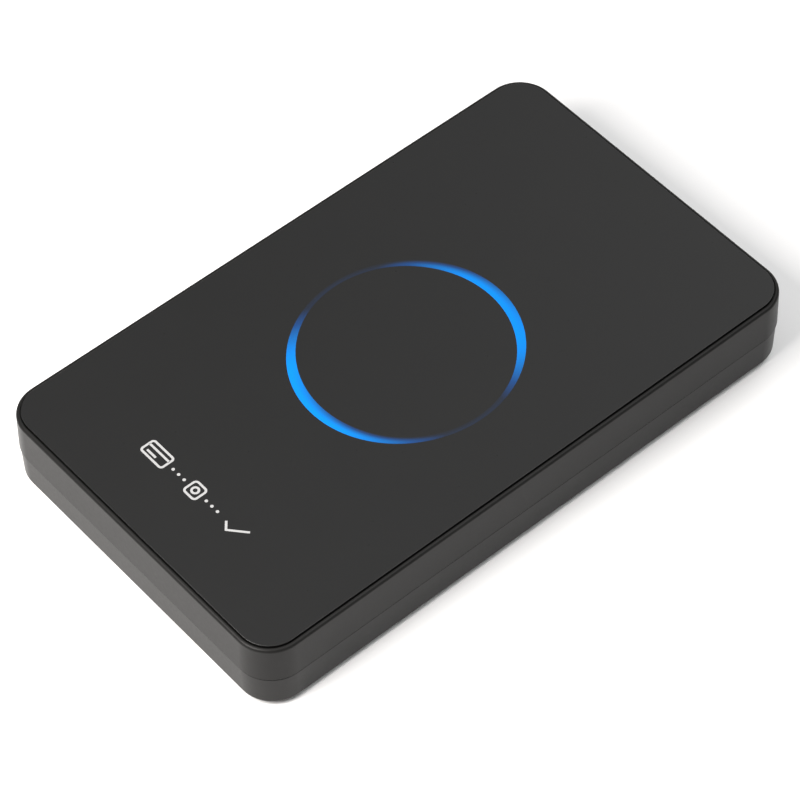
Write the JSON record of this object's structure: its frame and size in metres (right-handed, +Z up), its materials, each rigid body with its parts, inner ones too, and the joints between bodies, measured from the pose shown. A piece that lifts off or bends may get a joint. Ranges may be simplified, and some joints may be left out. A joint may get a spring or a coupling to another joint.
{
  "type": "rfid card reader",
  "caption": "Flat desktop card reader: rounded two-part plastic case, dark panel with a printed ring over a wound antenna coil, USB inlet in one end, rubber feet.",
  "frame": {"origin": "centre of the footprint, on the surface that the rubber feet stand on", "axes": "+X along the long side towards the end wall with the USB inlet, +Y across the case, +Z up out of the front panel"},
  "size_m": [0.118, 0.07, 0.0159],
  "materials": {
    "shell": "black ABS, fine moulded texture",
    "panel": "dark satin sheet, printed blue ring",
    "tape": "double-sided adhesive sheet",
    "label": "blank matt silver film",
    "rubber": "matt black rubber",
    "steel": "bright plated steel",
    "board": "green solder resist on glass-fibre board",
    "copper": "enamelled copper wire",
    "chip": "black moulded resin",
    "tin": "tinned or bare aluminium can",
    "clear": "clear acrylic",
    "lamp": "white lamp body",
    "ceramic": "tan ceramic",
    "ferrite": "sintered ferrite"
  },
  "bodies": {
    "root": {"top_housing": "shell", "bottom_housing": "shell", "front_panel": "panel", "panel_adhesive": "tape", "rating_label": "label", "main_pcb": "board", "antenna_coil": "copper", "coil_tape_ring": "tape", "coil_lead_1": "copper", "coil_lead_2": "copper", "light_guide": "clear", "usb_shell": "steel", "usb_insulator": "chip", "foot_1": "rubber", "foot_2": "rubber", "foot_3": "rubber", "foot_4": "rubber", "case_screw_1": "steel", "case_screw_2": "steel", "case_screw_3": "steel", "case_screw_4": "steel", "pcb_screw_1": "steel", "pcb_screw_2": "steel", "pcb_screw_3": "steel", "pcb_screw_4": "steel", "reader_ic": "chip", "mcu_ic": "chip", "crystal": "tin", "voltage_regulator": "chip", "usb_esd_diode": "chip", "buzzer": "chip", "power_inductor": "ferrite", "electrolytic_capacitor": "tin", "tuning_capacitor_1": "ceramic", "tuning_capacitor_2": "ceramic", "status_lamp": "lamp", "chip_capacitor_1": "ceramic", "chip_capacitor_2": "ceramic", "chip_capacitor_3": "ceramic", "chip_capacitor_4": "ceramic", "chip_resistor_1": "chip", "chip_resistor_2": "chip", "chip_resistor_3": "chip"}
  },
  "joints": []
}
